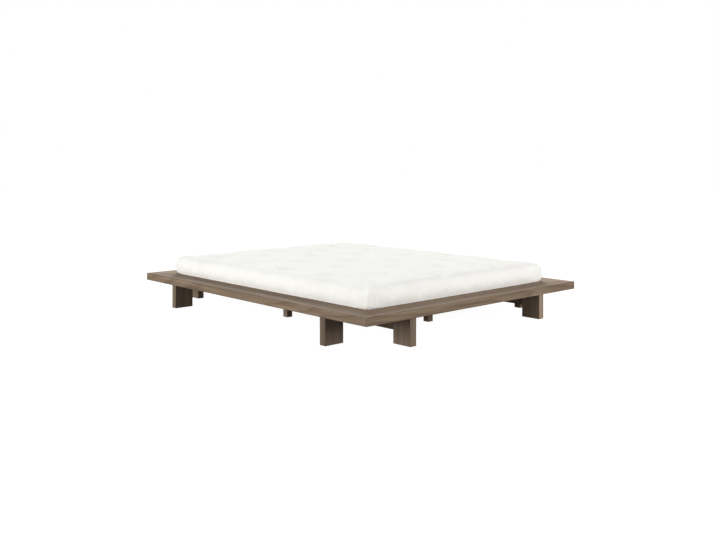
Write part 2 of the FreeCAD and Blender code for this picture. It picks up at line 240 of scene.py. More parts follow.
# Scales of the wood's noises along, across and through a board
SWAY_SCALES = (0.9, 5.0, 5.0)
WAVER_SCALES = (3.0, 90.0, 90.0)
STREAK_SCALES = (1.1, 42.0, 42.0)
FIBRE_SCALES = (14.0, 900.0, 900.0)
CLOUD_SCALES = (1.6, 4.0, 4.0)
PORE_SCALES = (55.0, 1500.0, 1500.0)

# Light
WORLD_STRENGTH = 0.24
WORLD_COLOUR = (1.0, 0.985, 0.965, 1.0)
FLOOR_REACH = 25.0
FLOOR_DROP = 0.0004
FLOOR_BOUNCE = 0.27
FLOOR_SEEN_SHADE = 0.22
FLOOR_SEEN_GLOW = 0.965
SOFTBOXES = (  # name, place, what it is aimed at, width, height, watts
    ("left_softbox", (-7.2, 0.4, 1.8), (0.0, -0.2, 0.15), 5.0, 3.0, 396.0),
    ("front_softbox", (1.2, -7.0, 2.3), (0.0, 0.0, 0.2), 5.0, 2.4, 336.0),
    ("back_softbox", (9.3, 10.6, 8.2), (0.0, 0.0, 0.2), 6.8, 4.8, 1770.0),
)


# Material nodes


class Finish:
    """A new material, and short calls that add its nodes."""

    def __init__(self, name, **values):
        self.material = bpy.data.materials.new(name)
        self.material.use_nodes = True
        self.tree = self.material.node_tree
        self.shader = self.tree.nodes["Principled BSDF"]
        for key, value in values.items():
            self.shader.inputs[key.replace("_", " ")].default_value = value

    def feed(self, socket, value):
        if isinstance(value, bpy.types.NodeSocket):
            self.tree.links.new(value, socket)
        else:
            socket.default_value = value

    def add(self, kind, inputs=None, **settings):
        node = self.tree.nodes.new("ShaderNode" + kind)
        for key, value in settings.items():
            setattr(node, key, value)
        for key, value in (inputs or {}).items():
            self.feed(node.inputs[key], value)
        return node

    def math(self, operation, *values):
        return self.add("Math", dict(enumerate(values)), operation=operation).outputs[0]

    def vector(self, operation, *values):
        node = self.add("VectorMath", dict(enumerate(values)), operation=operation)
        return node.outputs["Value" if operation == "LENGTH" else "Vector"]

    def join(self, x, y, z):
        return self.add("CombineXYZ", {0: x, 1: y, 2: z}).outputs[0]

    def split(self, vector):
        return self.add("SeparateXYZ", {0: vector}).outputs

    def place(self):
        """Each point's own place in the frame, which goes with its piece."""
        return self.add("TexCoord").outputs["Object"]

    def noise(self, vector, scale, detail=3.0, roughness=0.5):
        values = {"Vector": vector, "Scale": scale, "Detail": detail, "Roughness": roughness}
        return self.add("TexNoise", values).outputs[0]

    def stretched_noise(self, place, scales, detail=3.0, roughness=0.5):
        """Noise with its own scale along each axis."""
        return self.noise(self.vector("MULTIPLY", place, scales), 1.0, detail, roughness)

    def fade(self, value, low, high, first=0.0, last=1.0):
        """Smooth change from first to last as the value goes from low to high."""
        values = {
            "Value": value,
            "From Min": low,
            "From Max": high,
            "To Min": first,
            "To Max": last,
        }
        return self.add("MapRange", values, interpolation_type="SMOOTHSTEP").outputs[0]

    def mix(self, share, first, second):
        values = {0: share, 6: first, 7: second}
        return self.add("Mix", values, data_type="RGBA").outputs[2]

    def ramp(self, value, *stops):
        """A grey ramp through (place, grey) stops."""
        node = self.add("ValToRGB", {0: value})
        elements = node.color_ramp.elements
        while len(elements) < len(stops):
            elements.new(0.5)
        for element, (place, grey) in zip(elements, stops):
            element.position = place
            element.color = (grey, grey, grey, 1)
        return node.outputs[0]

    def colour(self, value):
        self.feed(self.shader.inputs["Base Color"], value)

    def roughness(self, value):
        self.feed(self.shader.inputs["Roughness"], value)

    def bump(self, height, distance, strength):
        values = {"Height": height, "Distance": distance, "Strength": strength}
        self.feed(self.shader.inputs["Normal"], self.add("Bump", values).outputs[0])


def rgba(red, green, blue):
    """A colour written as screen values from 0 to 255, in the linear values that nodes take."""
    def linear(value):
        share = value / 255
        return share / 12.92 if share <= 0.04045 else ((share + 0.055) / 1.055) ** 2.4
    return (linear(red), linear(green), linear(blue), 1.0)


# Wood


def grain_place(finish, box, axes, pith):
    """Places along a board's grain, across it and through it, measured from its tree's pith."""
    parts = finish.split(finish.place())
    turned = finish.join(*(parts[axis] for axis in axes))
    middle = [(box[0][axis] + box[1][axis]) / 2 for axis in axes]
    shift = [from_pith - centre for from_pith, centre in zip(pith, middle)]
    return finish.vector("ADD", turned, shift)


def edge_distance(finish, box, axes):
    """Distance of a point on a box's faces from the nearest edge along the box's first axis."""
    parts = finish.split(finish.place())
    depths = []
    for axis in axes[1:]:
        from_low = finish.math("SUBTRACT", parts[axis], box[0][axis])
        from_high = finish.math("SUBTRACT", box[1][axis], parts[axis])
        depths.append(finish.math("MINIMUM", from_low, from_high))
    return finish.math("MAXIMUM", *depths)


def mitre_distance(finish):
    """Distance in plan from the mitre lines of the ring of boards."""
    parts = finish.split(finish.vector("ABSOLUTE", finish.place()))
    to_end = finish.math("SUBTRACT", BED_HALF_Y, parts[1])
    to_side = finish.math("SUBTRACT", BED_HALF_X, parts[0])
    gap = finish.math("ABSOLUTE", finish.math("SUBTRACT", to_end, to_side))
    return finish.math("MULTIPLY", gap, math.sqrt(0.5))


def knots(finish, place, share):
    """Distance from the nearest knot's middle, and 1 where that knot is really there."""
    scale = (1 / KNOT_SPACING_ALONG, 1 / KNOT_SPACING_ACROSS, 0)
    scaled = finish.vector("MULTIPLY", place, scale)
    values = {"Vector": scaled, "Scale": 1.0, "Randomness": 0.5}
    cells = finish.add("TexVoronoi", values, voronoi_dimensions="2D")
    offset = finish.vector("SUBTRACT", scaled, cells.outputs["Position"])
    real = finish.vector("MULTIPLY", offset, (KNOT_SPACING_ALONG, KNOT_SPACING_ACROSS, 0))
    chosen = finish.split(cells.outputs["Color"])[0]
    return finish.vector("LENGTH", real), finish.math("GREATER_THAN", chosen, 1 - share)


def late_wood(finish, place, ring, knot_distance, knot_there):
    """Share of dark late wood in the growth rings, which wander and bend round the knots."""
    sway = finish.stretched_noise(place, SWAY_SCALES, 2.0)
    wander = finish.math("MULTIPLY", finish.math("SUBTRACT", sway, 0.5), GRAIN_WANDER)
    knot_pull = finish.fade(knot_distance, 0.0, KNOT_PULL_REACH, KNOT_PULL, 0.0)
    knot_pull = finish.math("MULTIPLY", knot_pull, knot_there)
    parts = finish.split(place)
    tilt = finish.math("MULTIPLY", parts[0], GRAIN_TILT)
    across = finish.math("ADD", parts[1], finish.math("ADD", wander, tilt))
    across = finish.math("ADD", across, knot_pull)
    radius = finish.vector("LENGTH", finish.join(0.0, across, parts[2]))
    waver = finish.stretched_noise(place, WAVER_SCALES, 3.0)
    waver = finish.math("MULTIPLY", waver, RING_WAVER)
    turns = finish.math("ADD", finish.math("DIVIDE", radius, ring), waver)
    return finish.ramp(finish.math("FRACT", turns), *RING_PROFILE)


def knot_tone(finish, distance, there):
    """How much of its dark tone a knot has, ringed like an onion."""
    rings = finish.math("SINE", finish.math("MULTIPLY", distance, KNOT_RING_TURNS))
    edge = finish.fade(distance, *KNOT_EDGE, 1.0, 0.0)
    tone = finish.math("MULTIPLY_ADD", rings, KNOT_RING_DARKNESS, KNOT_DARKNESS)
    return finish.math("MULTIPLY", finish.math("MULTIPLY", edge, there), tone)


def wood(name, box, axes, pith, tones, ring=RING_SPACING, contrast=1.0, knot_share=0.25,
         mitred=False):
    """Sawn wood with growth rings, fibres, pores, a few knots, and painted shade at the edges."""
    dark, middle, light, line = (rgba(*tone) for tone in tones)
    finish = Finish(name, Specular_IOR_Level=WOOD_SPECULAR)
    place = grain_place(finish, box, axes, pith)
    knot_distance, knot_there = knots(finish, place, knot_share)
    late = late_wood(finish, place, ring, knot_distance, knot_there)
    streaks = finish.stretched_noise(place, STREAK_SCALES, 4.0, 0.6)
    fibres = finish.stretched_noise(place, FIBRE_SCALES, 2.0, 0.6)
    cloud = finish.stretched_noise(place, CLOUD_SCALES, 2.0)
    pores = finish.fade(finish.stretched_noise(place, PORE_SCALES, 1.0), *PORE_RANGE)

    base = finish.mix(finish.fade(streaks, *DARK_STREAK_RANGE), dark, middle)
    base = finish.mix(finish.fade(streaks, *LIGHT_STREAK_RANGE), base, light)
    base = finish.mix(finish.fade(cloud, *CLOUD_RANGE, 0.0, CLOUD_SHARE), base, dark)
    base = finish.mix(finish.math("MULTIPLY", late, LATE_WOOD_SHARE * contrast), base, line)
    fibre_share = finish.fade(fibres, *FIBRE_RANGE, 0.0, FIBRE_SHARE * contrast)
    base = finish.mix(fibre_share, base, dark)
    base = finish.mix(finish.math("MULTIPLY", pores, PORE_SHARE * contrast), base, line)
    base = finish.mix(knot_tone(finish, knot_distance, knot_there), base, line)

    # Painted shade: the faces darken towards every edge of the piece
    edges = edge_distance(finish, box, axes)
    ragged = finish.math("MULTIPLY_ADD", finish.noise(place, 60.0, 2.0), 0.006, 0.002)
    edge_shade = finish.fade(edges, 0.0, ragged, 1.0, 0.0)
    base = finish.mix(finish.math("MULTIPLY", edge_shade, EDGE_PAINTED_SHADE), base, line)
    if mitred:
        seam = finish.fade(mitre_distance(finish), *SEAM_EDGE, SEAM_DARKNESS, 0.0)
        base = finish.mix(seam, base, rgba(*SEAM_TONE))
    finish.colour(base)

    rough = finish.math("MULTIPLY_ADD", fibres, 0.12, WOOD_ROUGHNESS)
    finish.roughness(finish.math("MULTIPLY_ADD", late, 0.10, rough))
    relief = finish.math("MULTIPLY_ADD", fibres, 0.6, finish.math("MULTIPLY", late, 0.35))
    relief = finish.math("SUBTRACT", relief, finish.math("MULTIPLY", pores, 0.8))
    finish.bump(relief, *WOOD_BUMP)
    return finish.material


# Dark, middle and light tones of each wood, and that of its late wood
STAINED = ((113, 95, 77), (138, 119, 99), (158, 138, 116), (77, 62, 49))
LEG_STAIN = ((104, 89, 74), (128, 112, 95), (146, 128, 111), (71, 58, 47))
# The bearers' stain is darker than the rest: painted shade under the boards
BEARER_STAIN_IN_PAINTED_SHADE = ((86, 72, 60), (106, 91, 77), (122, 106, 91), (58, 47, 39))
RAW_PINE = ((220, 190, 147), (233, 209, 169), (243, 224, 190), (194, 152, 102))
SEAM_TONE = (38, 30, 24)

# Copies of the stain made lighter or darker as painted light and shade, by board, leg and post
BOARD_TONES_AND_PAINTED_LIGHT = {
    "ledge_board_left": 0.97,
    "ledge_board_foot": 0.99,
    # The head and right boards are lighter: painted light on their far ends
    "ledge_board_right": 1.21,
    "ledge_board_head": 1.21,
}
# Each leg under the bed is made lighter or darker one by one: painted light and shade
LEG_PAINTED_LIGHT_AND_SHADE = {
    "left_leg_foot": 0.87,
    "left_leg_head": 0.98,
    "foot_leg_right": 1.17,
    "head_leg_left": 1.12,
}
# The posts under the bed are made lighter: painted light
POST_PAINTED_LIGHT = 1.15


def shaded(tones, share):
    """Tones made lighter or darker by one share, for painted light and shade."""
    return tuple(tuple(value * share for value in tone) for tone in tones)


def paint(node, material):
    mesh = NODES[node].data
    mesh.materials.clear()
    mesh.materials.append(material)


def longest_first(box):
    """The axes of a box from its longest side to its shortest."""
    sides = box[1] - box[0]
    return sorted(range(3), key=lambda axis: -sides[axis])


def is_slat(name):
    return name.startswith("slat_") and "tape" not in name


def pith_of(index):
    """Place of a board in its tree, another for each, so that no two show the same grain."""
    return (3.17 * index, 0.014 * (index % 5 - 2), 0.055 + 0.013 * (index % 4))


def dress_wood():
    """Every wooden node gets its own cut of the stain, with painted light and shade, or of raw
    pine.
    """
    for index, name in enumerate(sorted(NODES)):
        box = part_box(name)
        axes = longest_first(box)
        pith = pith_of(index)
        if name.startswith("ledge_board"):
            # Board tones, with painted light on the head and right boards
            tones = shaded(STAINED, BOARD_TONES_AND_PAINTED_LIGHT[name])
            paint(name, wood("stained_" + name, box, axes, pith, tones, mitred=True))
        elif "_leg_" in name:
            # Leg tones with painted light and shade for where each leg stands
            tones = shaded(LEG_STAIN, LEG_PAINTED_LIGHT_AND_SHADE.get(name, 1.0))
            paint(name, wood("stained_" + name, box, axes, pith, tones))
        elif name.startswith(("long_bearer", "centre_rail", "cross_bearer")):
            # Bearers take the stain darkened as painted shade
            paint(name, wood("stained_" + name, box, axes, pith, BEARER_STAIN_IN_PAINTED_SHADE))
        elif "_post_" in name:
            # Post tones lightened as painted light
            tones = shaded(LEG_STAIN, POST_PAINTED_LIGHT)
            paint(name, wood("stained_" + name, box, (2, 0, 1), pith, tones))
        elif is_slat(name):
            paint(name, wood("raw_" + name, box, axes, pith, RAW_PINE, SLAT_RING_SPACING,
                             contrast=0.8, knot_share=0.5))


# Other solids of the frame


LAYER_THICKNESS = 0.0030
LAYER_GRAIN_SCALES = (30.0, 400.0, 400.0)
SPANGLE_SCALE = 160.0
TURNED_LINE_SCALES = (2500.0, 300.0, 2500.0)


def plywood():
    """Thin layers whose grain turns at every glue line."""
    finish = Finish("birch_plywood")
    place = finish.place()
    height = finish.split(place)[2]
    layer = finish.math("FRACT", finish.math("DIVIDE", height, LAYER_THICKNESS))
    layers = finish.fade(layer, 0.40, 0.60)
    grain = finish.stretched_noise(place, LAYER_GRAIN_SCALES)
    pale = finish.mix(finish.fade(grain, 0.3, 0.7), rgba(222, 190, 146), rgba(236, 211, 172))
    finish.colour(finish.mix(finish.math("MULTIPLY", layers, 0.5), pale, rgba(178, 136, 92)))
    finish.roughness(finish.math("MULTIPLY_ADD", grain, 0.15, 0.6))
    finish.bump(layers, 0.0002, 0.5)
    return finish.material


def zinc_steel(name):
    """Bright zinc plate with fine turned lines and cloudy spangle."""
    finish = Finish(name, Metallic=1.0)
    place = finish.place()
    cloud = finish.fade(finish.noise(place, SPANGLE_SCALE), 0.3, 0.7)
    finish.colour(finish.mix(cloud, rgba(168, 171, 176), rgba(205, 207, 210)))
    lines = finish.stretched_noise(place, TURNED_LINE_SCALES, 2.0)
    finish.roughness(finish.math("MULTIPLY_ADD", lines, 0.2, 0.26))
    finish.bump(lines, 0.0001, 0.4)
    return finish.material


# Cloth

# Pale, shaded and seed-fleck tones, the pitch of the weave, and scales of slubs, clouds and flecks
COTTON_TONES = ((250, 250, 247), (243, 242, 237), (203, 188, 160))
COTTON_PITCH = 0.0011
TUFT_TONES = ((244, 242, 235), (226, 222, 212), (190, 175, 148))
TUFT_PITCH = 0.0007
SLUB_ALONG = 14.0
SLUB_ACROSS = 420.0
COTTON_CLOUD_SCALE = 5.0
FLECK_SCALE = 330.0
FLECK_RANGE = (0.73, 0.77)
FOAM_CELL_SCALE = 700.0


def wave(finish, value, length):
    return finish.math("SINE", finish.math("MULTIPLY", value, 2 * math.pi / length))


def weave_height(finish, place, pitch):
    """Plain weave on all faces: threads along two axes, by which way the face looks."""
    normal = finish.add("NewGeometry").outputs["Normal"]
    squared = finish.vector("MULTIPLY", normal, normal)
    facing = finish.split(finish.vector("MULTIPLY", squared, squared))
    parts = finish.split(place)
    threads = [wave(finish, part, pitch) for part in parts]
    over_top = finish.math("MULTIPLY", threads[0], threads[1])
    over_end = finish.math("MULTIPLY", threads[0], threads[2])
    over_side = finish.math("MULTIPLY", threads[1], threads[2])
    weighed = finish.math("MULTIPLY", over_top, facing[2])
    weighed = finish.math("MULTIPLY_ADD", over_end, facing[1], weighed)
    return finish.math("MULTIPLY_ADD", over_side, facing[0], weighed)


def cotton(name, tones, pitch, sheen):
    """Undyed cotton: plain weave, slubs, a few seed flecks and cloudy shade."""
    pale, shade, fleck = (rgba(*tone) for tone in tones)
    finish = Finish(name, Sheen_Weight=sheen, Sheen_Roughness=0.45, Specular_IOR_Level=0.2)
    place = finish.place()
    weave = weave_height(finish, place, pitch)
    slub_x = finish.stretched_noise(place, (SLUB_ALONG, SLUB_ACROSS, SLUB_ACROSS), 2.0)
    slub_y = finish.stretched_noise(place, (SLUB_ACROSS, SLUB_ALONG, SLUB_ALONG), 2.0)
    slubs = finish.math("MULTIPLY", finish.math("ADD", slub_x, slub_y), 0.5)
    cloud = finish.noise(place, COTTON_CLOUD_SCALE)
    flecks = finish.fade(finish.noise(place, FLECK_SCALE, 1.0), *FLECK_RANGE)
    base = finish.mix(finish.fade(cloud, 0.3, 0.75, 0.0, 0.6), pale, shade)
    base = finish.mix(finish.fade(slubs, 0.35, 0.65, 0.0, 0.35), base, shade)
    # Painted shade in the weave's hollows: the threads' low points take the shaded tone
    base = finish.mix(finish.fade(weave, 0.1, -0.9, 0.0, 0.25), base, shade)
    finish.colour(finish.mix(finish.math("MULTIPLY", flecks, 0.45), base, fleck))
    finish.roughness(finish.math("MULTIPLY_ADD", slubs, 0.12, 0.84))
    finish.bump(finish.math("MULTIPLY_ADD", slubs, 1.4, weave), 0.00025, 0.6)
    return finish.material


def foam():
    """Open-cell foam."""
    finish = Finish("foam_core")
    place = finish.place()
    values = {"Vector": place, "Scale": FOAM_CELL_SCALE}
    cells = finish.add("TexVoronoi", values).outputs["Distance"]
    cloud = finish.noise(place, 9.0)
    base = finish.mix(finish.fade(cloud, 0.3, 0.7), rgba(238, 226, 178), rgba(244, 235, 200))
    # Painted shade in the foam's pits: darker towards each cell's middle, where the bump sinks
    finish.colour(finish.mix(finish.fade(cells, 0.5, 0.1, 0.0, 0.4), base, rgba(205, 186, 128)))
    finish.roughness(finish.math("MULTIPLY_ADD", cells, 0.1, 0.86))
    finish.bump(cells, 0.0004, 0.7)
    return finish.material


# Meshes


def new_piece(name, vertices, faces, material, body):
    mesh = bpy.data.meshes.new(name)
    mesh.from_pydata([tuple(point) for point in vertices], [], [tuple(face) for face in faces])
    mesh.update()
    piece = bpy.data.objects.new(name, mesh)
    bpy.context.scene.collection.objects.link(piece)
    mesh.materials.append(material)
    mesh.shade_smooth()
    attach(piece, body)
    return piece


def vectors_of(mesh, key):
    flat = np.empty(len(mesh.vertices) * 3)
    mesh.vertices.foreach_get(key, flat)
    return flat.reshape(-1, 3)


def points_of(mesh):
    return vectors_of(mesh, "co")


def normals_of(mesh):
    return vectors_of(mesh, "normal")


def set_points(mesh, points):
    mesh.vertices.foreach_set("co", points.astype(np.float32).ravel())
    mesh.update()


def apply_modifiers(piece):
    """The piece's mesh as its modifiers leave it."""
    graph = bpy.context.evaluated_depsgraph_get()
    old = piece.data
    piece.data = bpy.data.meshes.new_from_object(piece.evaluated_get(graph))
    piece.modifiers.clear()
    bpy.data.meshes.remove(old)


def tube_faces(rows, around):
    """Faces between the corners of a tube, whose points go once round at each corner."""
    faces = []
    for row in range(rows):
        for step in range(around):
            a = row * around + step
            b = row * around + (step + 1) % around
            faces.append((a, b, b + around, a + around))
    return faces


# The futon's form


def rise(inset):
    """Share of the height over the bulge at a distance in from the futon's side."""
    shoulder = 1 - np.clip(inset, 0, SHOULDER_REACH) / SHOULDER_REACH
    crown = 1 - np.clip(inset, 0, CROWN_REACH) / CROWN_REACH
    over_shoulder = SHOULDER_SHARE * np.sqrt(1 - shoulder ** 2)
    return over_shoulder + (1 - SHOULDER_SHARE) * (1 - crown ** CROWN_POWER)


def rounded(x, y, half_x, half_y, inset):
    """Plan points of square rings moved onto rings with round corners."""
    a = half_x - inset
    b = half_y - inset
    radius = np.minimum(CORNER_RADIUS + CORNER_GROWTH * inset, np.minimum(a, b))
    radius = np.maximum(radius, 1e-6)
    over_x = np.clip((np.abs(x) - (a - radius)) / radius, 0, 1)
    over_y = np.clip((np.abs(y) - (b - radius)) / radius, 0, 1)
    in_corner = (over_x > 0) & (over_y > 0)
    angle = np.where(over_x >= over_y, over_y, 2 - over_x) * math.pi / 4
    round_x = a - radius + radius * np.cos(angle)
    round_y = b - radius + radius * np.sin(angle)
    new_x = np.where(in_corner, np.sign(x) * round_x, x)
    new_y = np.where(in_corner, np.sign(y) * round_y, y)
    return new_x, new_y


def soft_least(first, second):
    """Like the lesser of two distances, with no crease where they are equal."""
    first = np.maximum(first, 1e-4)
    second = np.maximum(second, 1e-4)
    return (first ** -BLEND_POWER + second ** -BLEND_POWER) ** (-1 / BLEND_POWER)


def tuft_places():
    """Staggered plan places of the tufts, as the frame's own futon has them."""
    width = 2 * HALF_X
    row_pitch = 2 * HALF_Y / TUFT_ROWS
    pitch = width * TUFT_COLUMN_PITCH_SHARE
    shift = pitch * TUFT_COLUMN_SHIFT_SHARE
    places = []
    for row in range(TUFT_ROWS):
        side = -shift if row % 2 == 0 else shift
        for column in range(TUFT_COLUMNS):
            x = pitch * (column - (TUFT_COLUMNS - 1) / 2) + side
            places.append((x, row_pitch * (row - (TUFT_ROWS - 1) / 2)))
    return np.array(places)


TUFTS = tuft_places()


def tuft_distance(x, y):
    """Distance from the nearest tuft, and which tuft it is."""
    away = np.hypot(x[:, None] - TUFTS[:, 0], y[:, None] - TUFTS[:, 1])
    return away.min(axis=1), away.argmin(axis=1)


def corner_share(to_x, to_y):
    """1 at the sewn corners and 0 away from them."""
    return np.exp(-(to_x ** 2 + to_y ** 2) / CORNER_STIFF_REACH ** 2)


def droop_share(to_x, to_y):
    """Share of the rise that is left where a corner droops."""
    return 1 - CORNER_DROOP * np.exp(-(to_x ** 2 + to_y ** 2) / CORNER_DROOP_REACH ** 2)


def top_height(x, y, half_x, half_y):
    """Height of the futon's upper face before its tufts draw it down."""
    to_x = half_x - np.abs(x)
    to_y = half_y - np.abs(y)
    squarer = 1 + CORNER_SQUARENESS * corner_share(to_x, to_y)
    share = rise(soft_least(to_x, to_y) * squarer)
    bulge = BASE_Z + FULL_HEIGHT * BULGE_SHARE
    return bulge + RISE_HEIGHT * share * droop_share(to_x, to_y)


def futon_rings():
    """(inset, height, whether above the bulge) of the side's rows, from well to shoulder."""
    bulge = BULGE_SHARE * FULL_HEIGHT
    rows = []
    for step in range(1, SIDE_ROWS_BELOW):
        down = 1 - step / SIDE_ROWS_BELOW
        hem = min(HEM_INSET * down ** HEM_POWER, GROOVE_INSET)
        inset = WELL_INSET if down > WELL_SHARE else hem
        rows.append((inset, BASE_Z + bulge * (1 - down), False))
    last_angle = math.acos(1 - SHOULDER_EDGE / SHOULDER_REACH)
    for step in range(SIDE_ROWS_ABOVE):
        inset = SHOULDER_REACH * (1 - math.cos(last_angle * step / SIDE_ROWS_ABOVE))
        rows.append((inset, BASE_Z + bulge, True))
    return rows


def futon_faces(count_x, count_y, border, ring_count):
    """Faces of two grids, the lower one looking down, and of the rows that join their borders."""
    def index(i, j):
        return i * (count_y + 1) + j

    per_grid = (count_x + 1) * (count_y + 1)
    faces = []
    for i in range(count_x):
        for j in range(count_y):
            a, b, c, d = index(i, j), index(i + 1, j), index(i + 1, j + 1), index(i, j + 1)
            faces.append((a, d, c, b))
            faces.append((per_grid + a, per_grid + b, per_grid + c, per_grid + d))
    around = len(border)
    rows = [np.array(border)]
    for row in range(ring_count):
        rows.append(2 * per_grid + row * around + np.arange(around))
    rows.append(per_grid + np.array(border))
    for lower, upper in zip(rows, rows[1:]):
        for step in range(around):
            after = (step + 1) % around
            faces.append((lower[step], lower[after], upper[after], upper[step]))
    return faces


def futon_shell():
    """Points and faces of the closed futon: two grids joined by the side's rings."""
    half_x = HALF_X - START_INSET
    half_y = HALF_Y - START_INSET
    count_x = round(2 * half_x / CELL)
    count_y = round(2 * half_y / CELL)
    share_x = np.linspace(-1, 1, count_x + 1)
    share_y = np.linspace(-1, 1, count_y + 1)
    grid_x, grid_y = (axis.ravel() for axis in np.meshgrid(share_x, share_y, indexing="ij"))

    def grid(edge):
        x = grid_x * (half_x - edge)
        y = grid_y * (half_y - edge)
        inset = np.minimum(half_x - np.abs(x), half_y - np.abs(y))
        return rounded(x, y, half_x, half_y, inset)

    low_x, low_y = grid(SEAT_INSET)
    near, _ = tuft_distance(low_x, low_y)
    low_z = BASE_Z + TUFT_UNDER_DEPTH * np.exp(-near / TUFT_REACH)
    high_x, high_y = grid(SHOULDER_EDGE)
    near, _ = tuft_distance(high_x, high_y)
    high_z = top_height(high_x, high_y, half_x, half_y) - TUFT_DEPTH * np.exp(-near / TUFT_REACH)
    layers = [np.column_stack((low_x, low_y, low_z)), np.column_stack((high_x, high_y, high_z))]

    step_y = count_y + 1
    border = [i * step_y for i in range(count_x)]
    border += [count_x * step_y + j for j in range(count_y)]
    border += [i * step_y + count_y for i in range(count_x, 0, -1)]
    border += [j for j in range(count_y, 0, -1)]
    rim_x = half_x * grid_x[border]
    rim_y = half_y * grid_y[border]
    stiff = corner_share(half_x - np.abs(rim_x), half_y - np.abs(rim_y))
    rings = futon_rings()
    for inset, height, above in rings:
        fuller = CORNER_FULLNESS if height > BOARD_TOP and not above else 0.0
        insets = inset * (1 - fuller * stiff)
        x = grid_x[border] * (half_x - insets)
        y = grid_y[border] * (half_y - insets)
        x, y = rounded(x, y, half_x, half_y, insets)
        z = np.full(len(border), height)
        if above:
            droop = droop_share(half_x - np.abs(x), half_y - np.abs(y))
            z = height + RISE_HEIGHT * rise(insets * (1 + CORNER_SQUARENESS * stiff)) * droop
        layers.append(np.column_stack((x, y, z)))
    return np.concatenate(layers), futon_faces(count_x, count_y, border, len(rings))


def corner_distance(x, y):
    return np.hypot(HALF_X - np.abs(x), HALF_Y - np.abs(y))


def held_points(points):
    """Points that the tufts, the sewn corners, the slats and the boards hold still."""
    x, y, z = points.T
    near, _ = tuft_distance(x, y)
    held = (near < TUFT_PIN_RADIUS) | (corner_distance(x, y) < CORNER_PIN_RADIUS)
    return np.flatnonzero(held | (z < BOARD_TOP - BOARD_PIN_DEPTH))


def simulate(piece):
    """Fills the futon with air pressure as cloth, and keeps a capped share of the swelling."""
    start = points_of(piece.data)
    held = piece.vertex_groups.new(name="held")
    held.add(held_points(start).tolist(), 1.0, "REPLACE")
    modifier = piece.modifiers.new("Cloth", "CLOTH")
    for key, value in CLOTH_SETTINGS.items():
        setattr(modifier.settings, key, value)
    modifier.settings.effector_weights.gravity = 0.0
    modifier.settings.vertex_group_mass = "held"
    modifier.collision_settings.use_collision = False
    modifier.collision_settings.use_self_collision = False
    modifier.point_cache.frame_start = 1
    modifier.point_cache.frame_end = CLOTH_FRAMES
    for step in range(1, CLOTH_FRAMES + 1):
        bpy.context.scene.frame_set(step)
    graph = bpy.context.evaluated_depsgraph_get()
    moved = points_of(piece.evaluated_get(graph).to_mesh()) - start
    piece.modifiers.clear()
    piece.vertex_groups.clear()
    bpy.context.scene.frame_set(1)
    length = np.maximum(np.linalg.norm(moved, axis=1), 1e-9)
    kept = CLOTH_CAP * np.tanh(length / CLOTH_CAP)
    set_points(piece.data, start + moved * (kept / length)[:, None])


def waves(x, y, lengths, seed):
    """Irregular ripples over the plan: a sum of sines in fixed random directions."""
    random = np.random.default_rng(seed)
    total = np.zeros(len(x))
    for length in lengths:
        angle = random.uniform(*WAVE_TURNS) + random.integers(0, 4) * math.pi / 2
        along = x * math.cos(angle) + y * math.sin(angle)
        total += np.sin(2 * math.pi * along / length + random.uniform(0, 2 * math.pi))
    return total / math.sqrt(len(lengths))


def refine_round_tufts(piece):
    """Smaller faces round the tufts, for their pleats."""
    edit = bmesh.new()
    edit.from_mesh(piece.data)
    edit.edges.ensure_lookup_table()
    middles = np.array([(edge.verts[0].co + edge.verts[1].co) / 2 for edge in edit.edges])
    near, _ = tuft_distance(middles[:, 0], middles[:, 1])
    upper = middles[:, 2] > BASE_Z + FULL_HEIGHT * BULGE_SHARE
    chosen = [edit.edges[index] for index in np.flatnonzero((near < PLEAT_REACH) & upper)]
    bmesh.ops.subdivide_edges(edit, edges=chosen, cuts=1, use_grid_fill=True)
    edit.to_mesh(piece.data)
    edit.free()


def gathers(x, y, z, normals):
    """How far the gathers along the lower sides stand out: inwards, so it is never above 0."""
    inner_x = HALF_X - CORNER_RADIUS
    inner_y = HALF_Y - CORNER_RADIUS
    nearest_x = np.clip(x, -inner_x, inner_x)
    nearest_y = np.clip(y, -inner_y, inner_y)
    out = np.maximum(np.hypot(x - nearest_x, y - nearest_y), 1e-6)
    side_x = nearest_x + (x - nearest_x) / out * CORNER_RADIUS
    side_y = nearest_y + (y - nearest_y) / out * CORNER_RADIUS
    folds = waves(side_x, side_y, GATHER_LENGTHS, GATHER_SEED)
    swell = waves(side_x, side_y, GATHER_SWELL_LENGTHS, GATHER_SWELL_SEED)
    strength = np.clip(GATHER_STRENGTH + GATHER_SWELL * swell, *GATHER_STRENGTH_LIMITS)
    over_board = np.clip((z - BOARD_TOP) / GATHER_TOP, 0, 1)
    over_base = np.clip((z - BASE_Z) / GATHER_BASE_RISE, 0, 1)
    fading = (1 - over_board) ** GATHER_TOP_POWER * over_base
    upright = np.clip(1 - np.abs(normals[:, 2]) * GATHER_TILT_SHARE, 0, 1)
    level = upright * np.clip(corner_distance(x, y) / GATHER_CORNER_REACH, 0, 1)
    return -GATHER_DEPTH * np.abs(folds) ** FOLD_POWER * strength * fading * level


def pleats(x, y, normals, near, which):
    """How far the pinched pleats round the tufts stand out of the upper face."""
    random = np.random.default_rng(PLEAT_SEED)
    turns = random.uniform(0, 2 * math.pi, len(TUFTS))[which]
    counts = random.integers(*PLEAT_COUNTS, len(TUFTS))[which]
    angle = np.arctan2(y - TUFTS[which, 1], x - TUFTS[which, 0])
    spokes = np.abs(np.sin(counts * angle / 2 + turns)) ** FOLD_POWER - PLEAT_MEAN
    ring = np.clip(near / PLEAT_INNER_REACH, 0, 1) * np.exp(-(near / (0.5 * PLEAT_REACH)) ** 2)
    pinch = PINCH_DEPTH * np.exp(-(near / PINCH_REACH) ** 2)
    upward = np.clip(normals[:, 2] * 2, 0, 1)
    return (PLEAT_DEPTH * spokes * ring - pinch) * upward


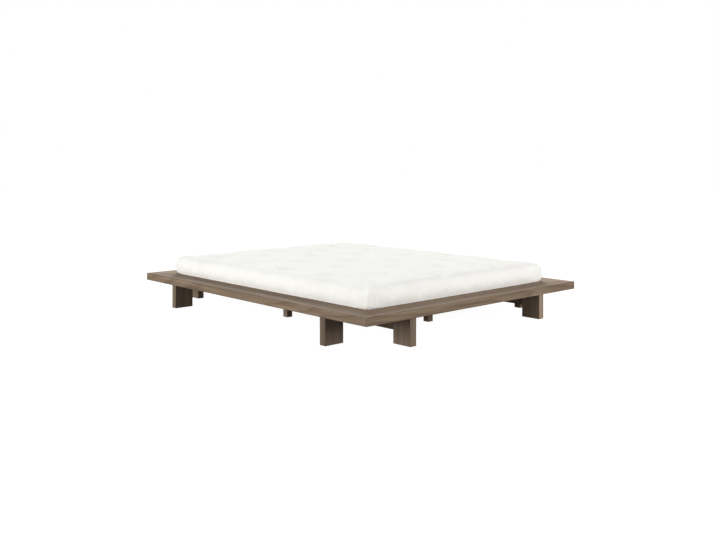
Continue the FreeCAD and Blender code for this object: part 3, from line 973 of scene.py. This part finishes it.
def lumps(x, y, z, near):
    """How far the wadding's lumps stand out, calm near the tufts and down in the well."""
    calm = np.clip(near / TUFT_REACH, 0, 1)
    total = LUMP_DEPTH * waves(x, y, LUMP_LENGTHS, LUMP_SEED) * calm
    total += RIPPLE_SHARE * LUMP_DEPTH * waves(x, y, RIPPLE_LENGTHS, RIPPLE_SEED) * calm
    return total * np.clip((z - BOARD_TOP) / LUMP_RISE, 0, 1)


def fold(piece):
    """Moves the cloth's points out or in by its gathers, pleats and lumps."""
    points = points_of(piece.data)
    normals = normals_of(piece.data)
    x, y, z = points.T
    near, which = tuft_distance(x, y)
    out = gathers(x, y, z, normals) + pleats(x, y, normals, near, which) + lumps(x, y, z, near)
    set_points(piece.data, points + normals * out[:, None])


def crease_corners(mesh):
    """Keeps the sewn corners' upright edges crisp when the mesh is smoothed."""
    creases = mesh.attributes.new("crease_edge", "FLOAT", "EDGE")
    for edge in mesh.edges:
        ends = [mesh.vertices[index].co for index in edge.vertices]
        on_corner = True
        for end in ends:
            to_x = HALF_X - abs(end.x)
            to_y = HALF_Y - abs(end.y)
            on_corner = on_corner and abs(to_x - to_y) < 1e-4 and to_x < CORNER_PIN_RADIUS
        if on_corner and abs(ends[0].z - ends[1].z) > 0.001:
            creases.data[edge.index].value = CORNER_CREASE


def make_futon():
    vertices, faces = futon_shell()
    cloth = cotton("natural_cotton", COTTON_TONES, COTTON_PITCH, sheen=0.12)
    piece = new_piece("futon_cotton_cover", vertices, faces, cloth, "futon")
    crease_corners(piece.data)
    simulate(piece)
    smooth = piece.modifiers.new("Subdivision", "SUBSURF")
    smooth.levels = 1
    apply_modifiers(piece)
    refine_round_tufts(piece)
    fold(piece)
    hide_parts("futon_cover")
    return piece


def make_core():
    """The foam slab: a box with softly rounded edges and uneven faces."""
    edit = bmesh.new()
    bmesh.ops.create_cube(edit, size=1.0)
    sides = CORE_HIGH - CORE_LOW
    bmesh.ops.scale(edit, vec=sides, verts=edit.verts)
    bmesh.ops.bevel(edit, geom=edit.edges[:], offset=CORE_EDGE_RADIUS, profile=0.5,
                    segments=CORE_EDGE_SEGMENTS, affect="EDGES")
    long_edges = [edge for edge in edit.edges if edge.calc_length() > CORE_LONG_EDGE]
    bmesh.ops.subdivide_edges(edit, edges=long_edges, cuts=CORE_CUTS, use_grid_fill=True)
    bmesh.ops.translate(edit, vec=(CORE_LOW + CORE_HIGH) / 2, verts=edit.verts)
    edit.verts.index_update()
    vertices = [vertex.co.copy() for vertex in edit.verts]
    faces = [[vertex.index for vertex in face.verts] for face in edit.faces]
    edit.free()
    core = new_piece("futon_foam_core", vertices, faces, foam(), "futon")
    points = points_of(core.data)
    uneven = CORE_UNEVENNESS * waves(points[:, 0], points[:, 1], CORE_WAVE_LENGTHS, CORE_SEED)
    set_points(core.data, points - normals_of(core.data) * (CORE_SINK + uneven)[:, None])
    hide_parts("futon_core")


def tuft_button(turn):
    """Points and faces of one stitched cotton tuft: a lobed dome that looks up."""
    points = []
    for reach, height in TUFT_PROFILE:
        for step in range(TUFT_SIDES):
            angle = 2 * math.pi * step / TUFT_SIDES
            lobes = 1 + TUFT_LOBE_SHARE * math.cos(TUFT_LOBES * angle + turn) * reach
            out = TUFT_RADIUS * reach * lobes
            flute = 0.5 + 0.5 * math.cos(TUFT_LOBES * angle + turn + math.pi)
            up = TUFT_THICKNESS * (height - TUFT_FLUTE_SHARE * reach * flute)
            points.append((out * math.cos(angle), out * math.sin(angle), up))
    points.append((0.0, 0.0, TUFT_THICKNESS * TUFT_MIDDLE_SHARE))
    last = (len(TUFT_PROFILE) - 1) * TUFT_SIDES
    faces = tube_faces(len(TUFT_PROFILE) - 1, TUFT_SIDES)
    for step in range(TUFT_SIDES):
        faces.append((last + step, last + (step + 1) % TUFT_SIDES, len(points) - 1))
    faces.append(tuple(reversed(range(TUFT_SIDES))))
    return points, faces


def make_tufts(cover):
    """A tuft at every dimple, above and below, seated on the cloth as it lies there."""
    cloth = BVHTree.FromPolygons([vertex.co for vertex in cover.data.vertices],
                                 [polygon.vertices for polygon in cover.data.polygons])
    vertices = []
    faces = []
    for number, (x, y) in enumerate(TUFTS):
        for side in (1, -1):
            start = Vector((x, y, BASE_Z + FULL_HEIGHT / 2 + side * FULL_HEIGHT))
            place, normal, _, _ = cloth.ray_cast(start, Vector((0, 0, -side)))
            points, button = tuft_button(number + side)
            outward = normal if normal.z * side > 0 else -normal
            turn = Vector((0, 0, 1)).rotation_difference(outward)
            first = len(vertices)
            vertices += [place + turn @ Vector(point) for point in points]
            faces += [[first + corner for corner in face] for face in button]
    material = cotton("tuft_cotton", TUFT_TONES, TUFT_PITCH, sheen=0.1)
    tufts = new_piece("futon_tuft_stitches", vertices, faces, material, "futon")
    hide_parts("futon_tufts")


# The slats' tapes and staples


# Pitches of the webbing's ribs and weft, how far the ribs slant the weft, and how far its threads
# are pale on either side of a tape's middle
WEBBING_RIB = 0.0021
WEBBING_WEFT = 0.0017
WEBBING_SLANT = 0.0006
WEBBING_MIDDLE = 0.480
WEBBING_PALE_HALF = 0.0105


def webbing():
    """Woven polypropylene tape: herringbone ribs along it and two darker edge threads."""
    finish = Finish("webbing")
    place = finish.place()
    parts = finish.split(place)
    across = finish.math("ABSOLUTE", parts[0])
    ribs = wave(finish, parts[0], WEBBING_RIB)
    slant = finish.math("ADD", parts[1], finish.math("MULTIPLY", ribs, WEBBING_SLANT))
    weft = wave(finish, slant, WEBBING_WEFT)
    height = finish.math("MULTIPLY_ADD", ribs, 0.5, finish.math("MULTIPLY", weft, 0.5))
    pale = finish.math("COMPARE", across, WEBBING_MIDDLE, WEBBING_PALE_HALF)
    # Painted light and shade: the weave's low points are darker and its raised threads lighter
    base = finish.mix(finish.fade(height, -0.8, 0.8), rgba(176, 171, 160), rgba(214, 210, 200))
    base = finish.mix(finish.math("MULTIPLY_ADD", pale, -0.35, 0.35), base, rgba(120, 112, 100))
    finish.colour(base)
    finish.roughness(finish.math("MULTIPLY_ADD", height, 0.08, 0.62))
    finish.bump(height, 0.0003, 0.8)
    return finish.material


def make_tape(node, slats, material):
    """A webbing tape that lies flat on the slats and sags a little between them."""
    low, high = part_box(node)
    stops = []
    for before, after in zip(slats, slats[1:]):
        stops += [(y, 0.0) for y in np.linspace(*before, TAPE_STOPS_ON_SLAT)]
        gap = after[0] - before[1]
        for share in np.linspace(0.1, 0.9, TAPE_STOPS_BETWEEN):
            stops.append((before[1] + gap * share, TAPE_SAG * 4 * share * (1 - share)))
    stops += [(y, 0.0) for y in np.linspace(*slats[-1], TAPE_STOPS_ON_SLAT)]
    stops = [(min(max(y, low.y), high.y), sag) for y, sag in stops]
    across = np.linspace(low.x, high.x, TAPE_LINES)
    thickness = high.z - low.z
    vertices = []
    for y, sag in stops:
        for side, share in ((1, 1.0), (-1, 0.0)):
            for x in across[::side]:
                rim = TAPE_RIM_SHARE if x in (low.x, high.x) else 0.0
                height = low.z + thickness * (share + rim * (1 - 2 * share))
                vertices.append((x, y, height - sag))
    around = 2 * len(across)
    faces = [(a, d, c, b) for a, b, c, d in tube_faces(len(stops) - 1, around)]
    faces.append(tuple(range(around)))
    faces.append(tuple(reversed(range(len(vertices) - around, len(vertices)))))
    name = "webbing_" + node.split("_")[-1]
    tape = new_piece(name, vertices, faces, material, "frame")
    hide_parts(node)
    return (low.x + high.x) / 2, high.z


def staple(x, y, height):
    """Points of one wire staple that straddles a place on a tape."""
    points = []
    for over, up, face_over, face_up in STAPLE_PATH:
        outward = math.copysign(1.0, over)
        for step in range(STAPLE_SIDES):
            angle = 2 * math.pi * step / STAPLE_SIDES
            lift = STAPLE_RADIUS * math.cos(angle)
            points.append((x + over + outward * face_over * lift,
                           y + STAPLE_RADIUS * math.sin(angle),
                           height + up + face_up * lift))
    return points


def make_staples(slats, tapes):
    """Two wire staples through each tape into every slat."""
    vertices = []
    faces = []
    wire = tube_faces(len(STAPLE_PATH) - 1, STAPLE_SIDES)
    for x, height in tapes:
        for low_y, high_y in slats:
            for share in STAPLE_PLACES:
                first = len(vertices)
                vertices += staple(x, low_y + (high_y - low_y) * share, height)
                faces += [[first + corner for corner in face] for face in wire]
    new_piece("slat_staples", vertices, faces, zinc_steel("staple_steel"), "frame")


def make_slat_ties():
    boxes = [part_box(name) for name in sorted(NODES) if is_slat(name)]
    slats = [(low.y, high.y) for low, high in boxes]
    material = webbing()
    tapes = [make_tape(node, slats, material) for node in ("slat_tape_left", "slat_tape_right")]
    make_staples(slats, tapes)


# Camera, floor and light


def make_camera():
    data = bpy.data.cameras.new("camera")
    camera = bpy.data.objects.new("camera", data)
    bpy.context.scene.collection.objects.link(camera)
    camera.location = CAMERA_PLACE
    camera.rotation_euler = CAMERA_HEADING.to_track_quat("-Z", "Y").to_euler()
    data.sensor_fit = "HORIZONTAL"
    data.lens = data.sensor_width * FOCAL_PIXELS / IMAGE_WIDTH
    data.shift_x = (IMAGE_WIDTH / 2 - PRINCIPAL_POINT[0]) / IMAGE_WIDTH
    data.shift_y = (PRINCIPAL_POINT[1] - IMAGE_HEIGHT / 2) / IMAGE_WIDTH
    data.clip_end = 100.0
    bpy.context.scene.camera = camera


def seen_directly(tree):
    """1 for what the camera, a reflection or glass sees, and 0 for light that only bounces."""
    path = tree.nodes.new("ShaderNodeLightPath")
    total = path.outputs["Is Camera Ray"]
    for name in ("Is Glossy Ray", "Is Transmission Ray"):
        either = tree.nodes.new("ShaderNodeMath")
        either.operation = "MAXIMUM"
        tree.links.new(total, either.inputs[0])
        tree.links.new(path.outputs[name], either.inputs[1])
        total = either.outputs[0]
    return total


def make_world():
    """Even studio light, and a white backdrop for what is seen directly."""
    world = bpy.data.worlds.new("studio")
    bpy.context.scene.world = world
    world.use_nodes = True
    tree = world.node_tree
    lighting = tree.nodes["Background"]
    lighting.inputs["Color"].default_value = WORLD_COLOUR
    lighting.inputs["Strength"].default_value = WORLD_STRENGTH
    backdrop = tree.nodes.new("ShaderNodeBackground")
    backdrop.inputs["Color"].default_value = (1.0, 1.0, 1.0, 1.0)
    backdrop.inputs["Strength"].default_value = 1.0
    chosen = tree.nodes.new("ShaderNodeMixShader")
    tree.links.new(seen_directly(tree), chosen.inputs[0])
    tree.links.new(lighting.outputs[0], chosen.inputs[1])
    tree.links.new(backdrop.outputs[0], chosen.inputs[2])
    tree.links.new(chosen.outputs[0], tree.nodes["World Output"].inputs["Surface"])


def grey_surface(tree, grey):
    node = tree.nodes.new("ShaderNodeBsdfDiffuse")
    node.inputs["Color"].default_value = (grey, grey, grey, 1.0)
    return node


def make_floor():
    """A pale floor that is seen as white with a faint shadow, and bounces light as light grey."""
    material = bpy.data.materials.new("studio_floor")
    material.use_nodes = True
    tree = material.node_tree
    tree.nodes.remove(tree.nodes["Principled BSDF"])
    real = grey_surface(tree, FLOOR_BOUNCE)
    seen = grey_surface(tree, FLOOR_SEEN_SHADE)
    white = tree.nodes.new("ShaderNodeEmission")
    white.inputs["Strength"].default_value = FLOOR_SEEN_GLOW
    both = tree.nodes.new("ShaderNodeAddShader")
    tree.links.new(seen.outputs[0], both.inputs[0])
    tree.links.new(white.outputs[0], both.inputs[1])
    chosen = tree.nodes.new("ShaderNodeMixShader")
    tree.links.new(seen_directly(tree), chosen.inputs[0])
    tree.links.new(real.outputs[0], chosen.inputs[1])
    tree.links.new(both.outputs[0], chosen.inputs[2])
    tree.links.new(chosen.outputs[0], tree.nodes["Material Output"].inputs["Surface"])
    mesh = bpy.data.meshes.new("studio_floor")
    ways = ((-1, -1), (1, -1), (1, 1), (-1, 1))
    corners = [(x * FLOOR_REACH, y * FLOOR_REACH, -FLOOR_DROP) for x, y in ways]
    mesh.from_pydata(corners, [], [(0, 1, 2, 3)])
    floor = bpy.data.objects.new("studio_floor", mesh)
    bpy.context.scene.collection.objects.link(floor)
    mesh.materials.append(material)


def make_softbox(name, place, target, width, height, power):
    data = bpy.data.lights.new(name, "AREA")
    data.shape = "RECTANGLE"
    data.size = width
    data.size_y = height
    data.energy = power
    lamp = bpy.data.objects.new(name, data)
    bpy.context.scene.collection.objects.link(lamp)
    lamp.location = place
    lamp.rotation_euler = (Vector(target) - Vector(place)).to_track_quat("-Z", "Y").to_euler()


dress_wood()
paint("corner_tongues", plywood())
paint("mitre_bolts", zinc_steel("zinc_steel"))
make_tufts(make_futon())
make_core()
make_slat_ties()
make_camera()
make_world()
make_floor()
for softbox in SOFTBOXES:
    make_softbox(*softbox)

bpy.context.scene.view_settings.view_transform = "Standard"
